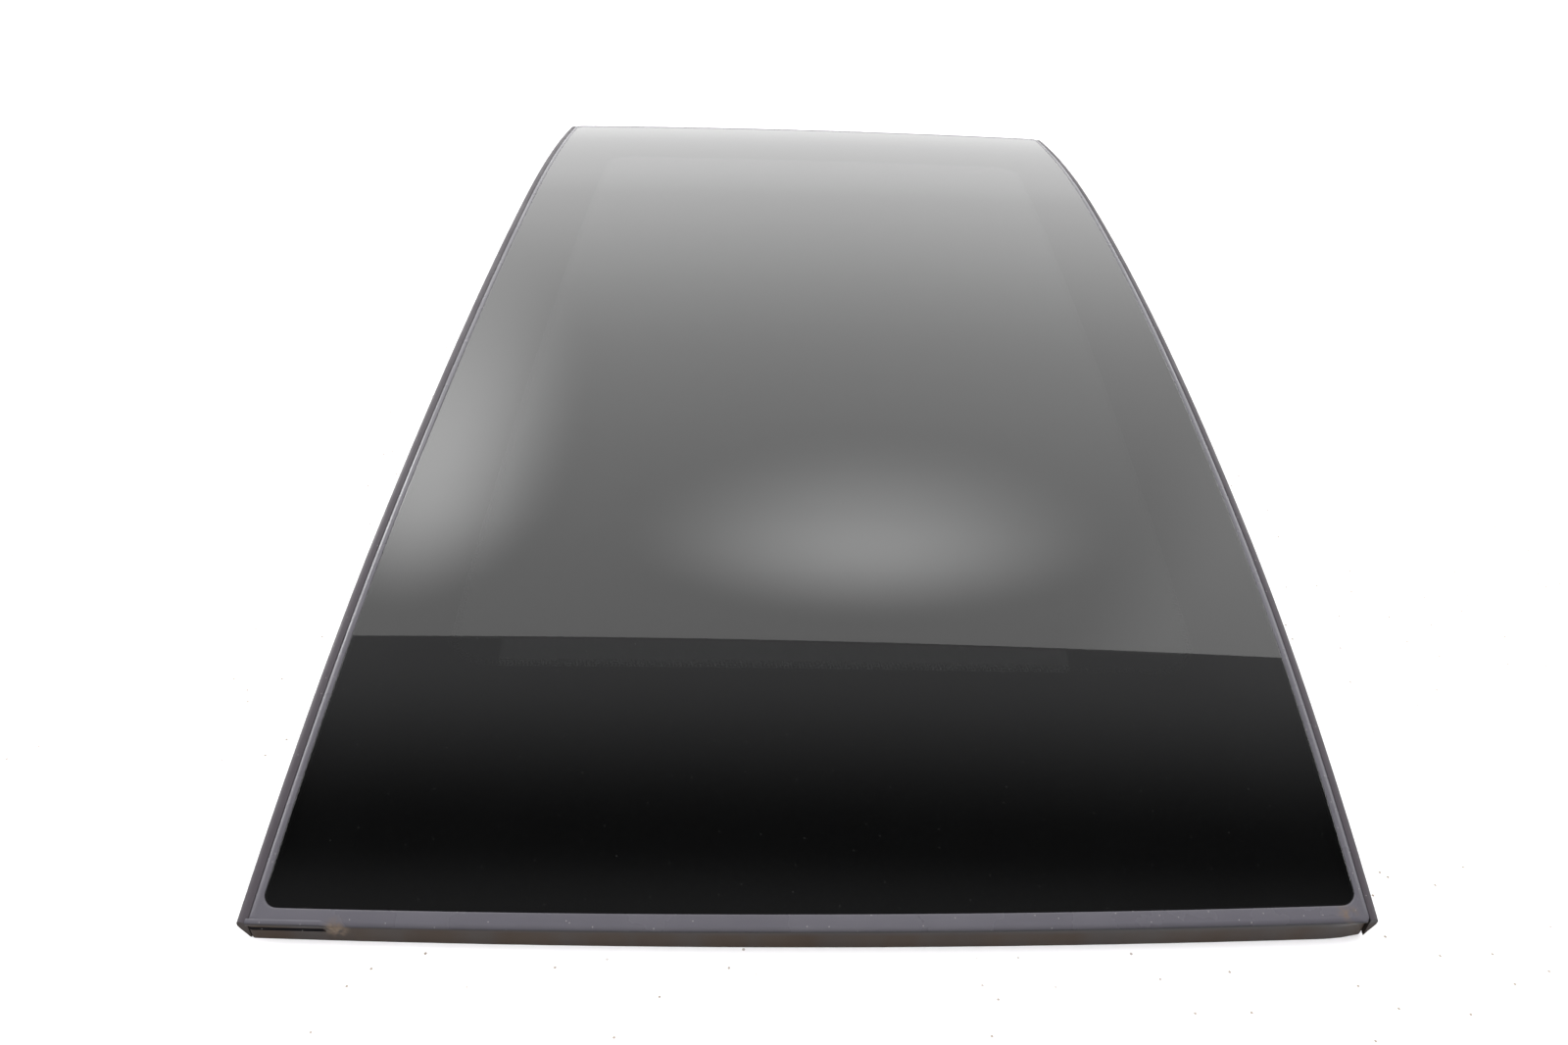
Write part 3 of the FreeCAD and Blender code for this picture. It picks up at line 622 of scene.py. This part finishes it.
bm = bmesh.new()
sweep_ring(
    bm,
    [
        lip_station(1.0, 0.5),
        lip_station(0.96, 0.15),
        lip_station(0.88, 0.0),
        lip_station(0.6, 0.0, 0.24),
        lip_station(0.52, 0.08, 0.17),
        lip_station(0.08, 1.12, 0.07),
        lip_station(0.02, 1.45, 0.02),
        lip_station(0.0, 1.9),
        lip_station(0.0, 2.9),
        lip_station(0.0, 3.1),
        lip_station(0.0, 5.1),
        lip_station(0.0, 5.3),
        lip_station(0.0, 8.0),
        lip_station(0.0, 14.4),
        under_station(0.6, 1.5, 15.0),
        under_station(9.4, 3.0, 15.0),
        under_station(10.0, 3.0, 14.4),
        under_station(10.0, 3.0, 9.1),
        under_station(10.6, 3.4, 8.5),
        under_station(30.6, 14.0, 8.5),
        under_station(31.0, 14.0, 8.1),
        under_station(31.0, 14.0, GLASS_THICKNESS),
        lip_station(1.0, GLASS_THICKNESS),
    ],
)
for vert in bm.verts:
    x, y, depth = vert.co.x, vert.co.y, -vert.co.z
    if -283.0 < x < GROOVE_END and y < -535.0 and 3.0 < depth < 5.2:
        vert.co.y += GROOVE_DEPTH
    if x > DRAWN_BACK_FROM and y < -515.0 and depth > 1.8:
        toward_corner = (x - DRAWN_BACK_FROM) / (front_corner - FRONT_SEAL - DRAWN_BACK_FROM)
        vert.co.y += DRAWN_BACK * min(1.0, (depth - 1.8) / 3.0) * toward_corner**2
bend(bm)
surround = finish_piece(bm, "moulded_surround_swept", polyurethane, 50.0)
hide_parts("moulded_surround")

# %% [markdown]
# At the rear right corner the mould has a round bead about 45 mm long on the top edge, just above the
# groove. The bead is a circle extruded along the edge, and its free end turns down.

# %% Corner bead
def near_edge(x):
    """Distance of the panel's right edge from the middle line, at a place along the car."""
    return half_length - END_TAPER * x / half_width + SIDE_BOW * max(0.0, 1 - (x / rear_corner) ** 2)


BEAD_RADIUS = 1.6
BEAD_TURN = 28.0
bm = bmesh.new()
upright = Matrix.Rotation(math.radians(90.0), 4, "Y")
bmesh.ops.create_circle(bm, cap_ends=True, segments=12, radius=BEAD_RADIUS, matrix=upright)
path = [(x, 1.3) for x in range(-279, -239, 4)] + [(-237.4, 2.0), (-236.0, 3.4), (-235.6, 4.9)]
ring = bm.faces[:]
centre = Vector((0.0, 0.0, 0.0))
for index, (x, depth) in enumerate(path):
    place = Vector((x, -near_edge(x) + BEAD_RADIUS, -depth))
    if index:
        grown = bmesh.ops.extrude_face_region(bm, geom=ring)
        ring = [f for f in grown["geom"] if isinstance(f, bmesh.types.BMFace)]
        turned = Matrix.Rotation(math.radians(BEAD_TURN if x > -239 else 0.0), 3, "Y")
        verts = ring[0].verts[:]
        bmesh.ops.rotate(bm, cent=centre, matrix=turned, verts=verts)
        bmesh.ops.translate(bm, verts=verts, vec=place - centre)
    else:
        bmesh.ops.translate(bm, verts=bm.verts, vec=place)
    centre = place
bend(bm)
finish_piece(bm, "rear_right_corner_bead", polyurethane, 50.0)

# %% [markdown]
# ## Edge seals
# Extruded sponge rubber strips close the gap to the roof along the front and rear edges. The section is a
# soft wedge, thick at the top. It is drawn once, extruded along the edge, trimmed on a slant at both ends,
# cut into short lengths and bent with the panel.

# %% Seals
def edge_seal(name, node, edge_x, width, bow, toward):
    """A seal along one edge; toward is +1 at the front and -1 at the rear."""
    bm = bmesh.new()
    section = [
        (0.0, 1.25),
        (0.12, 1.02),
        (0.45, 1.08),
        (0.75, 1.6),
        (0.93, 2.7),
        (1.0, 4.2),
        (0.96, 5.6),
        (0.78, 7.4),
        (0.45, 9.6),
        (0.15, 12.2),
        (0.0, 13.6),
    ]
    end_y = half_length - SEAL_END_GAP - toward * END_TAPER
    inner_x = edge_x - toward * width
    verts = [bm.verts.new((inner_x + toward * width * out, -end_y, -depth)) for out, depth in section]
    face = bm.faces.new(verts)
    grown = bmesh.ops.extrude_face_region(bm, geom=[face])
    ends = [v for v in grown["geom"] if isinstance(v, bmesh.types.BMVert)]
    bmesh.ops.translate(bm, verts=ends, vec=(0.0, 2 * end_y, 0.0))
    for sign in (-1, 1):
        slant = (toward * math.sin(SEAL_END_ANGLE), sign * math.cos(SEAL_END_ANGLE), 0.0)
        geometry = bm.verts[:] + bm.edges[:] + bm.faces[:]
        trimmed = bmesh.ops.bisect_plane(
            bm,
            geom=geometry,
            dist=1e-4,
            plane_co=(inner_x, sign * end_y, 0.0),
            plane_no=slant,
            clear_outer=True,
        )
        rim = [e for e in trimmed["geom_cut"] if isinstance(e, bmesh.types.BMEdge)]
        bmesh.ops.holes_fill(bm, edges=rim, sides=0)
    divide(bm, 12.0)
    for vert in bm.verts:
        vert.co.x += bow * max(0.0, 1 - (vert.co.y / end_y) ** 2)
    bend(bm)
    seal = finish_piece(bm, name, edge_rubber, 50.0)
    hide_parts(node)


edge_seal("front_seal_extruded", "front_seal", front_corner, FRONT_SEAL, FRONT_BOW, 1)
edge_seal("rear_seal_extruded", "rear_seal", -rear_corner, REAR_SEAL, REAR_BOW, -1)

# %% [markdown]
# ## Stage and light
# A white laminate table, a tall glowing backdrop behind it, and four soft lamps: above, in front and at both
# sides. The backdrop's top edge is the line that crosses the glass. It is hidden from the camera itself, so
# it only shows as a reflection. The lamps are kept out of reflections, because the glass would show each
# one as a square. Above the backdrop the room is dim, with a dark stretch before the ceiling.

# %% Table
laminate, tree = new_material("white_laminate")
flakes = specks(tree, 30.0, 0.9, seed=0.4)
chips = maths(tree, "MAXIMUM", flakes, specks(tree, 110.0, 0.5, stretch=(0.05, 1.0)))
chips = maths(tree, "MULTIPLY", chips, band(tree, noise(tree, 160.0, 2.0, seed=11.0), 0.42, 0.52))
table_colour = mix_colour(tree, chips, linear("#f1f0f2"), linear("#8f8378"))
table_shader = add(tree, "ShaderNodeBsdfPrincipled", Base_Color=table_colour, Roughness=0.45)
add(tree, "ShaderNodeOutputMaterial", Surface=table_shader.outputs["BSDF"])
bm = bmesh.new()
bmesh.ops.create_grid(bm, x_segments=1, y_segments=1, size=8.0)
mesh = bpy.data.meshes.new("table")
bm.to_mesh(mesh)
bm.free()
table = bpy.data.objects.new("table", mesh)
mesh.materials.append(laminate)
bpy.context.scene.collection.objects.link(table)

# %% [markdown]
# The backdrop is evenly lit but for three brighter places: two soft ovals, which the middle of the glass
# shows, and its low left part, which lights up the slope of the rear lip. Sizes here are in metres.

# %% Backdrop
BACKDROP_HALF_WIDTH = 5.0
BACKDROP_HALF_HEIGHT = 1.165
BACKDROP_DISTANCE = 1.2
MIDDLE_GLOW = (0.2, 1.62, 0.65, 0.55, 0.0, 2.5)
REAR_GLOW = (-0.86, 1.3, 0.35, 0.85, 0.33, 3.3)
glow, tree = new_material("lit_backdrop")
place = add(tree, "ShaderNodeSeparateXYZ", Vector=add(tree, "ShaderNodeTexCoord").outputs["Object"])
height = place.outputs["Z"]
aside = place.outputs["X"]
foot = band(tree, height, 0.05, 0.3, 1.85, 2.3)
level = maths(tree, "SUBTRACT", foot, band(tree, height, 0.4, 0.85, 0.0, 0.25))
level = maths(tree, "ADD", level, band(tree, aside, 0.8, 1.15, 0.0, 0.5))
low_left = maths(tree, "MULTIPLY", band(tree, aside, -1.3, -1.6, 0.0, 6.0), band(tree, height, 0.7, 0.4))
level = maths(tree, "ADD", level, low_left)
for x, z, wide, tall, slant, extra in (MIDDLE_GLOW, REAR_GLOW):
    risen = maths(tree, "SUBTRACT", height, z)
    slid = maths(tree, "ADD", aside, maths(tree, "MULTIPLY", risen, slant))
    across = maths(tree, "SUBTRACT", slid, x)
    across_square = maths(tree, "POWER", maths(tree, "DIVIDE", across, wide), 2.0)
    risen_square = maths(tree, "POWER", maths(tree, "DIVIDE", risen, tall), 2.0)
    away = maths(tree, "SQRT", maths(tree, "ADD", across_square, risen_square))
    level = maths(tree, "ADD", level, band(tree, away, 1.0, 0.0, 0.0, extra))
light = add(tree, "ShaderNodeEmission", Color=linear("#ffffff"), Strength=level)
add(tree, "ShaderNodeOutputMaterial", Surface=light.outputs["Emission"])
bm = bmesh.new()
bmesh.ops.create_grid(bm, x_segments=1, y_segments=1, size=1.0)
bmesh.ops.scale(bm, vec=(BACKDROP_HALF_WIDTH, BACKDROP_HALF_HEIGHT, 1.0), verts=bm.verts)
bmesh.ops.rotate(bm, cent=(0, 0, 0), matrix=Matrix.Rotation(math.radians(90), 3, "X"), verts=bm.verts)
bmesh.ops.translate(bm, vec=(0.0, 0.0, BACKDROP_HALF_HEIGHT), verts=bm.verts)
mesh = bpy.data.meshes.new("backdrop")
bm.to_mesh(mesh)
bm.free()
backdrop = bpy.data.objects.new("backdrop", mesh)
mesh.materials.append(glow)
bpy.context.scene.collection.objects.link(backdrop)
backdrop.location = (0.0, BACKDROP_DISTANCE, 0.0)
backdrop.visible_camera = False
backdrop.visible_shadow = False


# %% Lights
def soft_light(name, place, target, size, power):
    """A square soft box that faces a point."""
    data = bpy.data.lights.new(name, "AREA")
    data.shape = "SQUARE"
    data.size = size
    data.energy = power
    lamp = bpy.data.objects.new(name, data)
    lamp.location = place
    lamp.rotation_euler = (Vector(target) - Vector(place)).to_track_quat("-Z", "Y").to_euler()
    lamp.visible_glossy = False
    bpy.context.scene.collection.objects.link(lamp)
    print(name, "lamp", power, "W")


soft_light("overhead", (0.0, 0.5, 2.7), (0.0, -0.3, 0.0), 1.8, 25.0)
soft_light("front", (0.0, -2.4, 1.5), (0.0, -0.5, 0.0), 1.6, 56.0)
soft_light("left", (-2.6, -0.4, 1.7), (0.0, -0.2, 0.0), 1.4, 60.0)
soft_light("right", (2.6, -0.4, 1.7), (0.0, -0.2, 0.0), 1.4, 45.0)

# %% [markdown]
# The room is a gradient over the direction of view. The slope is how far a direction leans to the backdrop's
# side for each metre that it rises: the wall above the backdrop glows at a large slope and the ceiling at a
# small one, with a dark stretch between. Near the horizon the light is even, for the views from the sides.

# %% Room
world = bpy.data.worlds.new("room")
bpy.context.scene.world = world
world.use_nodes = True
world.node_tree.nodes.clear()
tree = world.node_tree
toward_sky = add(tree, "ShaderNodeSeparateXYZ", Vector=add(tree, "ShaderNodeTexCoord").outputs["Generated"])
rising = toward_sky.outputs["Z"]
leaning = toward_sky.outputs["Y"]
slope = maths(tree, "DIVIDE", leaning, maths(tree, "MAXIMUM", rising, 0.02))
wall = maths(tree, "MULTIPLY", band(tree, slope, 0.329, 0.646, 0.0, 0.58), band(tree, leaning, 0.05, 0.3))
low_sky = band(tree, rising, 0.85, 0.7, 0.0, 0.22)
ceiling = maths(tree, "MAXIMUM", band(tree, slope, 0.311, 0.203, 0.06, 0.22), low_sky)
room_light = maths(tree, "ADD", wall, ceiling)
room = add(tree, "ShaderNodeBackground", Color=(1.0, 1.0, 1.02, 1.0), Strength=room_light)
add(tree, "ShaderNodeOutputWorld", Surface=room.outputs["Background"])
bpy.context.scene.view_settings.view_transform = "Standard"

# %% End of the scene
print("scene script done")
